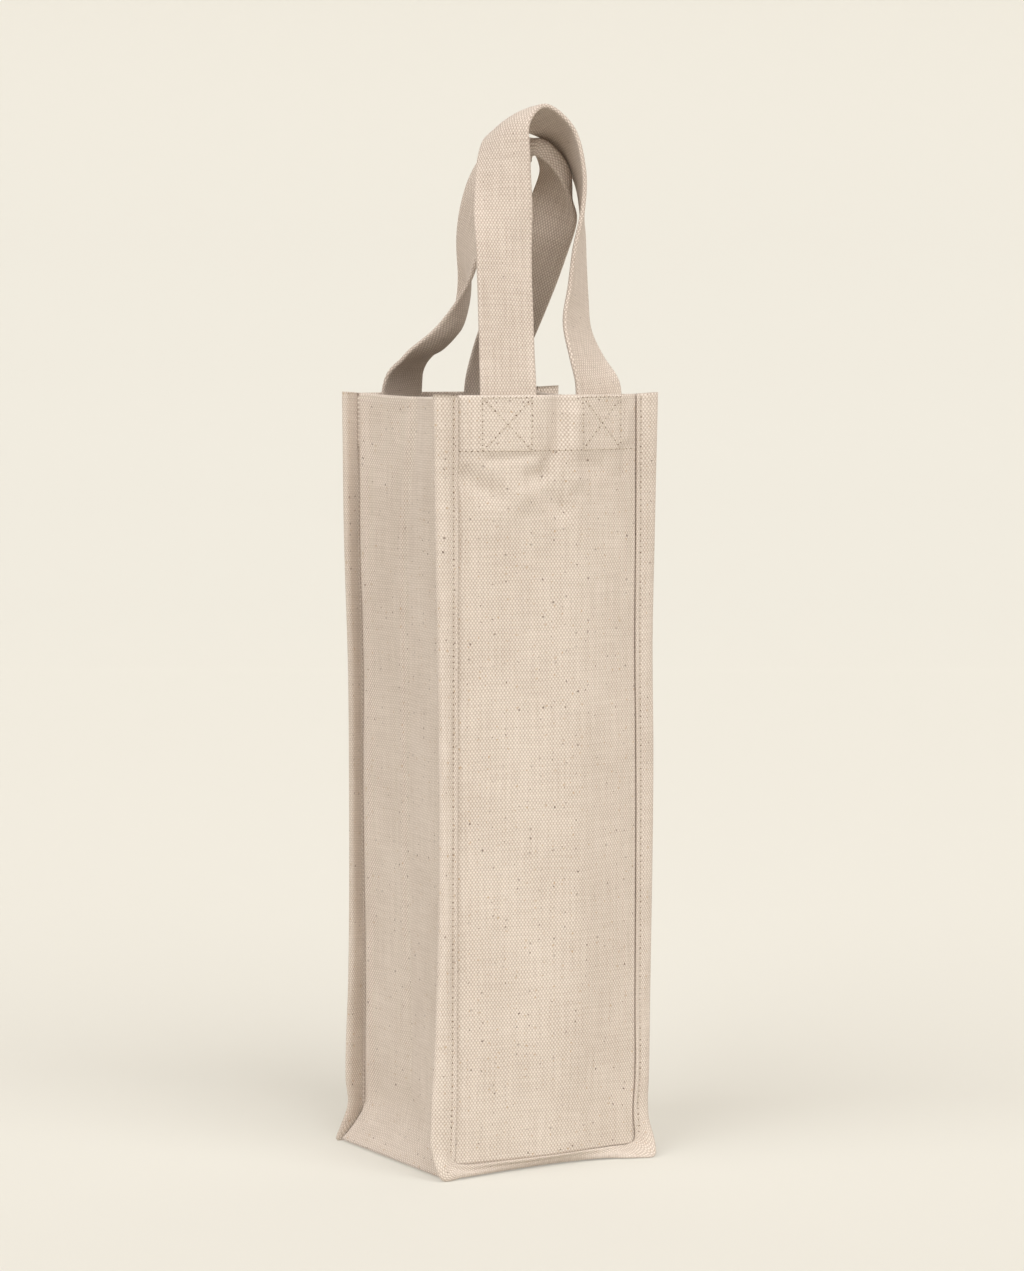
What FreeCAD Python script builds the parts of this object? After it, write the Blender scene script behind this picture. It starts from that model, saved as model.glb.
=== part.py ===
import FreeCAD, Part
import math
import os

# Canvas carrier for one wine bottle. Sizes in millimetres, floor at Z = 0.
# +X runs along the front panel, the front faces -Y and +Z is up.

# Bag body
HEIGHT = 340.0              # floor to rim
PANEL_WIDTH = 89.0          # one panel, between the roots of its side seams
DEPTH = 86.8                # between the inner faces of the two panels at the seams
CANVAS = 0.9                # one layer of canvas
PANEL_CROWN = 6.5           # how far the middle of a panel stands out past its seams
SEAM_WIDTH = 11.0           # bound seam, from its root to its folded tip
SEAM_SLOPE = 30.0           # degrees under level at which the bottom seam is tucked in
FLOOR_FLAT = 0.5            # depth of the flat that the floor presses on the bottom seam
HEM_DEPTH = 24.0            # turned hem inside the rim
HEM_THICKNESS = 1.8         # two turned layers
HEM_CORNER_GAP = 3.6        # free end of a panel hem, beside the gusset
GUSSET_PINCH = 4.0          # how far the gusset's centre crease draws in
CREASE_HEIGHT = 52.0        # where the centre crease forks towards the floor
FLARE_HEIGHT = 40.0         # where the gusset starts to spread to the floor

# Handles of flat webbing
WEBBING_WIDTH = 25.4
WEBBING_THICKNESS = 1.8
HANDLE_SPACING = 46.0       # between the centres of one handle's two feet
HANDLE_RISE = 119.0         # rim to the highest station of the front handle
SEWN_LENGTH = 25.0          # webbing sewn inside the rim
RIM_GAP = 0.6               # flexing gap between the sewn ends and the free loop
STEPS = 2                   # sections made from one station to the next

# Stitching
THREAD_WIDTH = 0.6
THREAD_PROUD = 0.35
SEAM_STITCH = 2.8           # stitch line from the bound seam's folded edge
HEM_STITCH = 23.9           # hem stitch line under the rim
BOX_WIDTH = 20.5            # sewn box with a cross in it, one on each handle end
BOX_HEIGHT = 22.2
BOX_DROP = 0.8              # top of the box under the rim

half_width = PANEL_WIDTH / 2
half_depth = DEPTH / 2
face = half_depth + CANVAS
tip = half_width + SEAM_WIDTH
crown_radius = (half_width ** 2 + PANEL_CROWN ** 2) / (2 * PANEL_CROWN)
crown_axis = FreeCAD.Vector(0, crown_radius - face - PANEL_CROWN, 0)
up = FreeCAD.Vector(0, 0, 1)

# Bottom seam: it leaves the panel at bend and runs inwards and down along slope.
slope = math.radians(SEAM_SLOPE)
bend_radius = crown_radius - CANVAS / 2
bend_height = SEAM_WIDTH * math.sin(slope) + 1.5 * CANVAS * math.cos(slope) - FLOOR_FLAT
hem_radius = crown_radius - CANVAS - HEM_THICKNESS
web_radius = hem_radius - WEBBING_THICKNESS / 2
foot_angle = math.asin(HANDLE_SPACING / 2 / web_radius)
foot_y = crown_axis.y - web_radius * math.cos(foot_angle)


def box(x0, x1, y0, y1, z0, z1):
    return Part.makeBox(x1 - x0, y1 - y0, z1 - z0, FreeCAD.Vector(x0, y0, z0))


def polygon(points):
    return Part.Face(Part.makePolygon(points + points[:1]))


def crowned(section, angle_from, angle_to):
    """Turn a section of (radius, height) points about the axis of the front panel's crown."""
    points = [FreeCAD.Vector(0, crown_axis.y - r, z) for r, z in section]
    profile = polygon(points)
    profile.rotate(crown_axis, up, math.degrees(angle_from))
    return profile.revolve(crown_axis, up, math.degrees(angle_to - angle_from))


def across(section, reach):
    """A crowned section that spans the panel up to reach on either side of its middle."""
    angle = math.asin(reach / crown_radius)
    return crowned(section, -angle, angle)


def on_seam(along, over):
    """A (radius, height) point of the bottom seam: along its slope, and over its mid layer."""
    r = bend_radius - along * math.cos(slope) - over * math.sin(slope)
    z = bend_height - along * math.sin(slope) + over * math.cos(slope)
    return (r, z)


def seam_slab(start, end, low, high):
    return [on_seam(start, low), on_seam(end, low), on_seam(end, high), on_seam(start, high)]


def mirrored(shape):
    return shape.mirror(FreeCAD.Vector(0, 0, 0), FreeCAD.Vector(1, 0, 0))


def turned_round(shape):
    """The same piece on the back of the bag."""
    back = shape.copy()
    back.rotate(FreeCAD.Vector(0, 0, 0), up, 180)
    return back


def joined(shapes):
    whole = shapes[0].multiFuse(shapes[1:])
    return whole.removeSplitter()


def save(name, shape):
    shape.exportStep("parts/" + name + ".step")


def make_gusset():
    """One strip of canvas: side, base and side, bound round the edges of both panels."""
    wall = half_depth - CANVAS
    pieces = []
    # Left side, folded along its centre crease and spread to the floor at its foot.
    rim_front = FreeCAD.Vector(-half_width, -wall, HEIGHT)
    rim_middle = FreeCAD.Vector(GUSSET_PINCH - half_width, 0, HEIGHT)
    rim_back = FreeCAD.Vector(-half_width, wall, HEIGHT)
    fork = FreeCAD.Vector(GUSSET_PINCH - half_width, 0, CREASE_HEIGHT)
    flare_front = FreeCAD.Vector(-half_width, -wall, FLARE_HEIGHT)
    flare_back = FreeCAD.Vector(-half_width, wall, FLARE_HEIGHT)
    floor_front = FreeCAD.Vector(-tip, -wall, 0)
    floor_back = FreeCAD.Vector(-tip, wall, 0)
    facets = [
        [rim_front, rim_middle, fork, flare_front],
        [rim_middle, rim_back, flare_back, fork],
        [flare_front, fork, floor_front],
        [fork, flare_back, floor_back],
        [fork, floor_back, floor_front],
    ]
    for facet in facets:
        pieces.append(polygon(facet).extrude(FreeCAD.Vector(CANVAS, 0, 0)))
    # Hem inside the rim of the side.
    hem_drop = FreeCAD.Vector(0, 0, -HEM_DEPTH)
    for start, end in ((rim_front, rim_middle), (rim_middle, rim_back)):
        hem = polygon([start, end, end + hem_drop, start + hem_drop])
        pieces.append(hem.extrude(FreeCAD.Vector(CANVAS + HEM_THICKNESS, 0, 0)))
    # Bound seams on the two corners of the side: a channel open towards the panel.
    channel = [
        (-tip, -face - CANVAS), (-half_width, -face - CANVAS),
        (-half_width, -face), (CANVAS - tip, -face),
        (CANVAS - tip, -half_depth), (CANVAS - half_width, -half_depth),
        (CANVAS - half_width, -wall), (-tip, -wall),
    ]
    seam = polygon([FreeCAD.Vector(x, y, 0) for x, y in channel]).extrude(up * HEIGHT)
    seam_end = box(-tip, -half_width, -face - CANVAS, -wall, 0, CANVAS)
    corner = seam.fuse(seam_end)
    pieces.append(corner)
    pieces.append(corner.mirror(FreeCAD.Vector(0, 0, 0), FreeCAD.Vector(0, 1, 0)))
    pieces.append(box(-tip, -half_width + CANVAS, -wall, wall, 0, CANVAS))
    left = joined(pieces)
    # Bottom seam, bound round the panel's turned edge, and the base between the two.
    sections = [
        seam_slab(0, SEAM_WIDTH, -1.5 * CANVAS, -0.5 * CANVAS),
        seam_slab(SEAM_WIDTH - CANVAS, SEAM_WIDTH, -1.5 * CANVAS, 2.5 * CANVAS),
        seam_slab(CANVAS, SEAM_WIDTH, 0.5 * CANVAS, 2.5 * CANVAS),
    ]
    front = joined([across(section, half_width) for section in sections])
    base_radius = on_seam(SEAM_WIDTH, 0)[0] + CANVAS
    disc = Part.makeCylinder(base_radius, CANVAS, crown_axis)
    base = box(-half_width, half_width, -face, face, 0, CANVAS)
    base = base.common(disc).common(turned_round(disc))
    strip = joined([left, mirrored(left), front, turned_round(front), base])
    above = box(-2 * tip, 2 * tip, -2 * face, 2 * face, 0, 2 * HEIGHT)
    return strip.common(above)


def make_panel(gusset):
    """Front panel: crowned canvas, hemmed at the rim, with its edges inside the bound seams."""
    lap = SEAM_WIDTH - CANVAS
    outer = crown_radius
    inner = crown_radius - CANVAS
    lower = on_seam(CANVAS / 2, 0)
    sheet = [(inner, HEIGHT), (outer, HEIGHT), (outer, lower[1]), (inner, lower[1])]
    edge = seam_slab(0, lap, -0.5 * CANVAS, 0.5 * CANVAS)
    hem = [
        (hem_radius, HEIGHT), (inner, HEIGHT),
        (inner, HEIGHT - HEM_DEPTH), (hem_radius, HEIGHT - HEM_DEPTH),
    ]
    side = box(half_width - CANVAS / 3, tip - CANVAS, -face, -half_depth, CANVAS, HEIGHT)
    panel = joined([
        across(sheet, half_width), across(edge, half_width),
        across(hem, half_width - HEM_CORNER_GAP), side, mirrored(side),
    ])
    return panel.cut(gusset)


def make_sewn_ends():
    """The two ends of one handle, sewn flat inside the front hem."""
    low = HEIGHT - SEWN_LENGTH
    inside = hem_radius - WEBBING_THICKNESS
    section = [(inside, low), (hem_radius, low), (hem_radius, HEIGHT), (inside, HEIGHT)]
    spread = WEBBING_WIDTH / 2 / web_radius
    right = crowned(section, foot_angle - spread, foot_angle + spread)
    return Part.makeCompound([mirrored(right), right])


def make_box_thread(side):
    """Sewn box with a cross, lying on the outside of the front panel."""
    middle = side * crown_radius * math.sin(foot_angle)
    top = HEIGHT - BOX_DROP
    low = top - BOX_HEIGHT
    x0 = middle - BOX_WIDTH / 2
    x1 = middle + BOX_WIDTH / 2
    y0 = -face - PANEL_CROWN - 2 * THREAD_PROUD
    y1 = -half_depth
    outline = box(x0, x1, y0, y1, low, top)
    inside = box(x0 + THREAD_WIDTH, x1 - THREAD_WIDTH, y0, y1, low + THREAD_WIDTH, top - THREAD_WIDTH)
    bars = [outline.cut(inside)]
    lean = THREAD_WIDTH / 2 * math.hypot(BOX_WIDTH, BOX_HEIGHT) / BOX_WIDTH
    for start, end in ((low, top), (top, low)):
        bar = [
            FreeCAD.Vector(x0, y0, start - lean), FreeCAD.Vector(x1, y0, end - lean),
            FreeCAD.Vector(x1, y0, end + lean), FreeCAD.Vector(x0, y0, start + lean),
        ]
        bars.append(polygon(bar).extrude(FreeCAD.Vector(0, y1 - y0, 0)).common(outline))
    outer = crown_radius + THREAD_PROUD
    skin = [(crown_radius, low), (outer, low), (outer, top), (crown_radius, top)]
    return joined(bars).common(across(skin, half_width))


def make_hem_thread():
    low = HEIGHT - HEM_STITCH - THREAD_WIDTH / 2
    top = low + THREAD_WIDTH
    outer = crown_radius + THREAD_PROUD
    line = [(crown_radius, low), (outer, low), (outer, top), (crown_radius, top)]
    return across(line, half_width - THREAD_WIDTH)


def make_seam_thread():
    """Top stitching of the front bound seam: two sides and the bottom."""
    x = half_width + SEAM_STITCH
    y = -face - CANVAS
    half = THREAD_WIDTH / 2
    side = box(x - half, x + half, y - THREAD_PROUD, y, bend_height, HEIGHT)
    under = -1.5 * CANVAS
    line = seam_slab(SEAM_STITCH - half, SEAM_STITCH + half, under - THREAD_PROUD, under)
    return Part.makeCompound([mirrored(side), across(line, half_width - THREAD_WIDTH), side])


def width_direction(turn, tilt):
    turn = math.radians(turn)
    tilt = math.radians(tilt)
    level = math.cos(tilt)
    return FreeCAD.Vector(level * math.cos(turn), level * math.sin(turn), math.sin(tilt))


def between(a, b, c, d, t):
    """Smooth curve from b to c, with a before and d after."""
    slope_b = (c - a) * 0.5
    slope_c = (d - b) * 0.5
    gap = c - b
    square = gap * 3 - slope_b * 2 - slope_c
    cube = slope_b + slope_c - gap * 2
    return b + slope_b * t + square * t ** 2 + cube * t ** 3


def make_loop(stations):
    """Free loop of a handle. A station is x, lean inwards, rise, turn and tilt of the width."""
    middles = []
    widths = []
    for x, lean, rise, turn, tilt in stations:
        height = HEIGHT + RIM_GAP + rise * (HANDLE_RISE - RIM_GAP)
        middles.append(FreeCAD.Vector(x, foot_y + lean, height))
        widths.append(width_direction(turn, tilt))
    # The loop leaves each foot square to the rim.
    first = middles[0] - up * (middles[1].z - middles[0].z)
    last = middles[-1] - up * (middles[-2].z - middles[-1].z)
    middles = [first] + middles + [last]
    widths = [widths[0]] + widths + [widths[-1]]
    sections = []
    spans = len(stations) - 1
    for step in range(spans * STEPS + 1):
        k = min(step // STEPS, spans - 1)
        t = step / STEPS - k
        middle = between(middles[k], middles[k + 1], middles[k + 2], middles[k + 3], t)
        ahead = between(middles[k], middles[k + 1], middles[k + 2], middles[k + 3], t + 0.01)
        behind = between(middles[k], middles[k + 1], middles[k + 2], middles[k + 3], t - 0.01)
        run = ahead - behind
        width = between(widths[k], widths[k + 1], widths[k + 2], widths[k + 3], t)
        normal = run.cross(width)
        normal.normalize()
        width.normalize()
        across_half = width * (WEBBING_WIDTH / 2)
        thick_half = normal * (WEBBING_THICKNESS / 2)
        corners = [
            middle - across_half - thick_half, middle + across_half - thick_half,
            middle + across_half + thick_half, middle - across_half + thick_half,
        ]
        sections.append(Part.makePolygon(corners + corners[:1]))
    return Part.makeLoft(sections, True, True)


foot_turn = math.degrees(foot_angle)
foot_x = HANDLE_SPACING / 2

# The front handle stands and leans back, and folds over towards its right foot.
front_stations = [
    (-foot_x, 0, 0, 180 - foot_turn, 0),
    (-20, 3, 0.29, 171, 0),
    (-17, 10, 0.58, 163, 0),
    (-15, 14, 0.72, 143, -4),
    (-11.5, 18, 0.86, 126, -10),
    (-4.5, 21, 0.96, 112, -17),
    (8.5, 24, 1.0, 104, -20),
    (22, 24.5, 0.925, 91, -16),
    (28.5, 22, 0.78, 72, -13),
    (27, 17, 0.62, 56, -14),
    (23.5, 13.5, 0.46, 45, -11),
    (21, 8, 0.24, 31, -7),
    (foot_x, 0, 0, foot_turn, 0),
]

# The back handle, as seen from the back, leans forward and tucks its top under the front one.
back_stations = [
    (foot_x, 0, 0, 180 + foot_turn, 0),
    (22, 4, 0.12, 207, -3),
    (16, 14, 0.21, 221, 0),
    (11.5, 20, 0.34, 237, 9),
    (8.5, 25, 0.47, 256, 15),
    (6, 30, 0.61, 270, 17),
    (2, 34.5, 0.75, 279, 16),
    (-5, 37, 0.865, 276, 10),
    (-17.5, 38, 0.91, 267, 3),
    (-27.5, 39, 0.82, 278, 0),
    (-28.5, 40, 0.68, 304, 6),
    (-25, 38, 0.555, 324, 13),
    (-22.3, 29, 0.39, 332, 18),
    (-22.3, 15, 0.22, 337, 12),
    (-foot_x, 0, 0, 360 - foot_turn, 0),
]

os.makedirs("parts", exist_ok=True)
gusset_strip = make_gusset()
front_panel = make_panel(gusset_strip)
front_ends = make_sewn_ends()
hem_thread = make_hem_thread()
seam_thread = make_seam_thread()
left_box = make_box_thread(-1)
right_box = make_box_thread(1)

save("gusset_strip", gusset_strip)
save("front_panel", front_panel)
save("back_panel", turned_round(front_panel))
save("front_handle_loop", make_loop(front_stations))
save("back_handle_loop", turned_round(make_loop(back_stations)))
save("front_handle_sewn_ends", front_ends)
save("back_handle_sewn_ends", turned_round(front_ends))
save("front_seam_thread", seam_thread)
save("back_seam_thread", turned_round(seam_thread))
save("front_hem_thread", hem_thread)
save("back_hem_thread", turned_round(hem_thread))
save("front_left_box_thread", left_box)
save("front_right_box_thread", right_box)
save("back_left_box_thread", turned_round(right_box))
save("back_right_box_thread", turned_round(left_box))
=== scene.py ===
import math

import bmesh
import bpy
import numpy as np
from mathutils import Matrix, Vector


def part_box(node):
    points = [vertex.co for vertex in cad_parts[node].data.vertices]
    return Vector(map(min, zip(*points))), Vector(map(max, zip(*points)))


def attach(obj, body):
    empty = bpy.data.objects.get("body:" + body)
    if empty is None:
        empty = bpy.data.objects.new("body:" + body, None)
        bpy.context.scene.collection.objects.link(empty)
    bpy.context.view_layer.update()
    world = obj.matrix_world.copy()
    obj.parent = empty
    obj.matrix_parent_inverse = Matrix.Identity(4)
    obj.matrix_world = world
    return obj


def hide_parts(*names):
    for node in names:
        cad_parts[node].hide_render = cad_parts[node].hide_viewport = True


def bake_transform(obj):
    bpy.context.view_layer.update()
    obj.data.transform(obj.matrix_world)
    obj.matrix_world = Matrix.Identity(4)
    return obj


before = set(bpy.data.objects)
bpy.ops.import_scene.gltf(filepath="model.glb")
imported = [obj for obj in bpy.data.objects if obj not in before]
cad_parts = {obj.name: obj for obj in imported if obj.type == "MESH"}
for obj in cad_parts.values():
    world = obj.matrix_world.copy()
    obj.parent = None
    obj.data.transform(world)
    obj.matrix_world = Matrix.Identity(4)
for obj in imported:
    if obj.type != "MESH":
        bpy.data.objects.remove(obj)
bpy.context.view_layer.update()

# Sizes are in millimetres, and meshes are made in metres. The front panel faces -Y.
MM = 0.001

# Sizes taken from the frame
panel_low, panel_high = (np.array(corner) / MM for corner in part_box("front_panel"))
RIM = panel_high[2]
PANEL_CROWN = 6.5                     # how far the solid panel stands out past its seams
FACE = -panel_low[1] - PANEL_CROWN    # plane of a panel along its side seams

# Cloth
CANVAS = 0.9
HEM_DEPTH = 24.0
HEM_LAYERS = 1.8                      # added thickness of the turned hem
RIM_ROLL = 1.35                       # half the thickness of the hemmed cloth
FLOOR_GAP = 0.05                      # room under the lowest cloth
WELD = 0.01                           # points closer than this are joined

# Face of a panel
CROWN = 7.4                           # height of the ridge that runs up the panel
CROWN_POWER = 0.85                    # below 1, for full slopes beside the ridge
FRONT_RIDGE = 0.64                    # place of the ridge, as a share of the panel's width
BACK_RIDGE = 0.45
RIDGE_SOFTNESS = 0.11
FLAT_HEIGHT = 64                      # under this height the crown flattens towards the floor
FLAT_SHARE = 0.66
RIM_CROWN = 8.2                       # rounder crown of the stiff cloth at the hem
RIM_CROWN_START = 268
RIM_CROWN_RUN = 58
PANEL_SWELL = 0.45                    # slow waves of slack cloth
HEM_STEP = 0.22                       # how far the doubled cloth of the hem stands out
GROOVE = 0.4                          # how far a panel dips under the folded edge of its binding
GROOVE_WIDTH = 0.4
BOTTOM_CORNER = 44                    # the corners of the bottom seam lie beyond this x
CORNER_HEIGHT = 20.0                  # height at which the panel's columns meet the bottom seam
FINE_START = 270                      # closer rows over this height, for the folds under the rim

# Gusset
SEAM_BACK = 1.4                       # how far the gusset's edges lie behind a panel's face
CREASE_PINCH = 4.6                    # how far the gusset's centre crease draws in
CREASE_SHIFT = 0.05                   # how far back it lies under the rim, as a share of the depth
CREASE_RIDGE = 0.9                    # soft ridge that the crease leaves beside it
FORK_HEIGHT = 52.0                    # where that crease forks towards the floor
FORK_ROUNDING = 0.5
SEAM_SWELL = 1.5                      # how far the gusset stands out just beside a bound seam
SWELL_PLACE = 1.8                     # how far from the seam it stands out most
SWELL_FADE = 6.0
GUSSET_SWELL = 0.35                   # slow waves of slack cloth
RIM_SAG = 1.2                         # how far the rim hangs between its seams
BASE_LIFT = 5.0                       # how far the base rises to the bottom seams
LOW_START = 60                        # closer rows under this height, for the fork

# Bound seams
SEAM_STEP = 1.6                       # between sections along a seam
TIP_BACK = 0.8                        # how far the tip of a side seam lies behind the panel's face
TIP_RISE = 0.6                        # and over its root
BINDING_WIDTH = 11.0                  # width of the section below, before it is fitted to the seam
BINDING_FOLD = 2.7                    # part of it at the folded edge that keeps its width
BINDING_FACE = 1.2                    # over this height of the section the binding is puffed
BINDING_DRAW = 1.35                   # how much closer the threads lie across a binding
BINDING_SHIFT = 200.0                 # keeps the weave of a binding apart from the gusset's
BINDING_CLOSE = 2.5                   # last step round the section

# Section of a binding: over from the folded edge, and out from the panel's face
BINDING_SECTION = [
    (1.2, -1.0), (0.6, -0.6), (0.2, -0.1), (-0.05, 0.4), (-0.1, 0.9), (0.2, 1.35),
    (0.7, 1.55), (1.2, 1.45), (1.75, 1.1), (2.2, 0.95), (2.65, 1.1), (3.6, 1.6),
    (5.2, 1.9), (7.0, 1.9), (8.8, 1.6), (10.0, 1.05), (10.7, 0.35), (11.0, -0.4),
    (10.9, -1.0), (10.6, -1.7), (9.9, -2.4), (8.8, -2.8), (7.4, -2.7), (5.6, -2.2),
    (3.6, -1.7), (1.8, -1.4), (0.4, -1.4),
]

# Webbing
WEBBING_WIDTH = 25.4
WEBBING_THICKNESS = 1.8
SELVAGE = 0.7                         # width of the rounded edge
SELVAGE_START = 0.8                   # where the selvage starts, as a share of the half width
SELVAGE_SWELL = 0.12                  # how much thicker it is, as a share
SEWN_LENGTH = 25.0
CURL_START = -2.0                     # where a curled edge starts, from the middle of the strap
CURL_LENGTH = 7.0
BACK_SLACK = 7.0                      # rounding of the back strap's far edge along its length
SLACK_RUN = 30                        # length above the sewn ends in which it sets in
STRAP_SECTIONS = 200
SECTION_STEPS = 255
FOOT_SPACING = 47.4

# Stitching
STITCH_PITCH = 2.6
STITCH_GAP = 0.5
STITCH_HALF_WIDTH = 0.3
STITCH_HALF_HEIGHT = 0.2
STITCH_SHAPE = [                      # place along a stitch, size there and lift
    (0.0, 0.2, -0.16), (0.18, 0.85, -0.02), (0.5, 1.0, 0.05), (0.82, 0.85, -0.02), (1.0, 0.2, -0.16),
]
# Dark discs at the needle holes are painted shade: they stand in for the shade inside each hole
SHADE_DOT_RADIUS = 0.24
SHADE_DOT_SPREAD = 0.14                    # how much larger a dot of painted shade at a needle hole can be
SHADE_DOT_LIFT = 0.06
SEAM_STITCH = 2.2                     # from the folded edge of a bound seam
HEM_STITCH = 23.9                     # under the rim
BOX_WIDTH = 22.0
BOX_HEIGHT = 22.6
BOX_DROP = 1.2

# Colours of the flecks in the cloth
BARK = (0.10, 0.065, 0.045)
STRAW = (0.40, 0.26, 0.135)

# Weave: threads wander a little, and slubs run along them
WANDER_SCALE = 45.0
WANDER = 1.6
PATCH_SCALE = 28.0
SLUB_SCALE = 0.8
SLUB_STRETCH = 0.05
FLECK_SCALE = 1400.0                  # roughness of a fleck's outline

# Stage: a paper that sweeps up behind the carrier, and a wall round it
FLOOR_AHEAD = 4000
FLOOR_BEHIND = 2200
SWEEP_RADIUS = 900
SWEEP_HEIGHT = 5000
SWEEP_HALF_WIDTH = 5000
PAPER_COLOUR = (0.403, 0.386, 0.346)
PAPER_GLOW = 0.8                      # the paper is lit from behind, as a light table is
PAPER_REACH = 4000                    # length of the paper, from the carrier, over which its tone changes
PAPER_TONES = [                       # distance along the paper, and tone
    (0, 1.0), (600, 0.995), (1400, 0.965), (2200, 0.94), (2500, 0.885), (2750, 0.865),
    (3000, 0.87), (3200, 0.89), (3500, 0.96), (4000, 1.05),
]
WALL_RADIUS = 4000
WALL_FOOT = -100
WALL_HEIGHT = 6000
WALL_COLOUR = (0.866, 0.815, 0.705)
WORLD_COLOUR = (1.0, 0.80, 0.63)
WORLD_STRENGTH = 0.34

# Camera
CAMERA_AZIMUTH = -30.0
CAMERA_DISTANCE = 1480.0
CAMERA_HEIGHT = 362.0
AIM_HEIGHT = 232.0
CAMERA_ASIDE = 6.4
FOCAL_PIXELS = 3326.0                 # focal length, in pixels of an image of this height
IMAGE_HEIGHT = 1271.0
SENSOR = 36.0

# Side seams in their own panel's view: height, x of the root, x of the tip
FRONT_LEFT = [
    (12, -46.9, -57.7), (24, -46.6, -58.2), (45, -46.2, -56.9), (89, -45.9, -54.9),
    (184, -45.5, -53.9), (278, -45.1, -55.3), (340, -45.1, -56.2),
]
FRONT_RIGHT = [
    (21, 44.4, 52.8), (34, 45.2, 53.2), (69, 45.2, 53.7), (178, 45.2, 55.0),
    (232, 44.5, 54.4), (276, 44.7, 55.3), (340, 44.7, 56.8),
]
BACK_LEFT = [
    (14, -46.0, -56.0), (30, -45.0, -55.5), (90, -44.6, -54.4), (180, -44.8, -54.0),
    (275, -44.6, -55.2), (342, -44.8, -57.0),
]
BACK_RIGHT = [
    (14, 44.6, 54.6), (28, 44.6, 55.1), (74, 44.2, 53.5), (175, 45.0, 52.6),
    (211, 44.6, 52.8), (274, 46.2, 54.6), (340, 46.4, 55.3),
]

# Corners and bottom of each seam: x and z of the root, then x, stand-out and z of the tip
FRONT_BOTTOM = [
    (-47.0, 7.6, -53.6, 1.2, 0.8), (-42, 6.3, -43.5, 0.9, 0.8), (-25, 6.0, -23.5, -1.0, 0.8),
    (-3, 5.8, -2, -2.0, 0.8), (16, 5.8, 16.5, -0.4, 0.8), (32, 5.4, 31, 3.0, 0.8),
    (41, 5.0, 42, 7.6, 0.8), (45.0, 6.5, 50.4, 9.4, 1.2), (45.4, 10.0, 52.4, 5.4, 7.0),
    (44.8, 14.5, 52.2, 1.4, 15.0),
]
BACK_BOTTOM = [
    (-46.5, 8.0, -57, 1.0, 1.2), (-42, 6.6, -46, -0.2, 0.8), (-22, 6.0, -20, -1.6, 0.8),
    (4, 5.8, 4, -2.0, 0.8), (24, 5.8, 26, -1.4, 0.8), (40, 6.2, 45, 0.2, 0.8),
    (45.0, 7.4, 59.2, 1.0, 1.2), (45.0, 10.0, 57.6, 0.4, 6.0),
]

# Floor edge of the gusset, at the front and at the back
LEFT_FLOOR = (53.2, 59.0)
RIGHT_FLOOR = (54.5, 57.5)

# Puckers of each panel: x and z of both ends, width and depth, inwards if negative
FRONT_FOLDS = [
    ((2.4, 343), (1.6, 322), 5.0, -3.2),
    ((1.4, 322), (-7.0, 303), 4.0, -2.2),
    ((9.5, 334), (10.0, 300), 3.6, 1.5),
    ((-44, 307), (-22, 292), 5.0, -1.8),
    ((-13, 307), (5, 288), 4.6, -1.9),
    ((-33, 312), (-10, 314), 2.4, -0.7),
    ((9, 311), (26, 308), 4.4, -1.3),
    ((37, 318), (36.5, 304), 2.0, -1.1),
    ((39.5, 334), (39, 320), 2.0, 0.9),
    ((-30, 292), (-6, 300), 6.0, 1.3),
]
BACK_FOLDS = [
    ((-2, 342), (-1, 316), 3.6, -1.4),
    ((-1, 316), (6, 300), 3.6, -0.9),
    ((-30, 312), (-9, 313), 1.7, -0.7),
    ((10, 312), (32, 313), 1.8, -0.7),
    ((-44, 306), (-20, 288), 4.4, -0.9),
    ((42, 300), (20, 282), 4.8, -0.8),
]

# Straps from foot to foot: x, y, z of the middle, then in degrees the turn and tilt of the width,
# the bow across it and the curl of its near edge
FRONT_STRAP = [
    (-22.0, -47.5, 344.0, 168, 0, 0, 0), (-21.3, -45.4, 357.0, 171, 1, 0, 0),
    (-20.2, -42.5, 373.5, 172, 1, 0, 0), (-19.2, -39.7, 390.0, 172, 2, 0, 0),
    (-18.1, -36.9, 406.5, 166, 1, 0, 0), (-16.6, -33.8, 422.4, 146, -3, -15, 0),
    (-14.5, -30.6, 438.3, 131, -7, -35, 0), (-9.7, -26.8, 453.2, 115, -17, -50, 0),
    (3.1, -21.4, 460.0, 106, -21, -40, 0), (18.4, -21.3, 453.7, 89, -10, -24, 0),
    (27.1, -25.1, 435.4, 68, -8, 0, 0), (26.7, -28.3, 415.4, 58, -17, 0, 0),
    (24.0, -30.4, 399.9, 48, -14, 0, 0), (21.8, -33.0, 384.5, 41, -11, 0, 0),
    (19.4, -36.5, 369.0, 31, -9, 0, 0), (20.5, -42.5, 356.0, 22, -5, 0, 0),
    (23.0, -47.5, 344.0, 10, 0, 0, 0),
]
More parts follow.
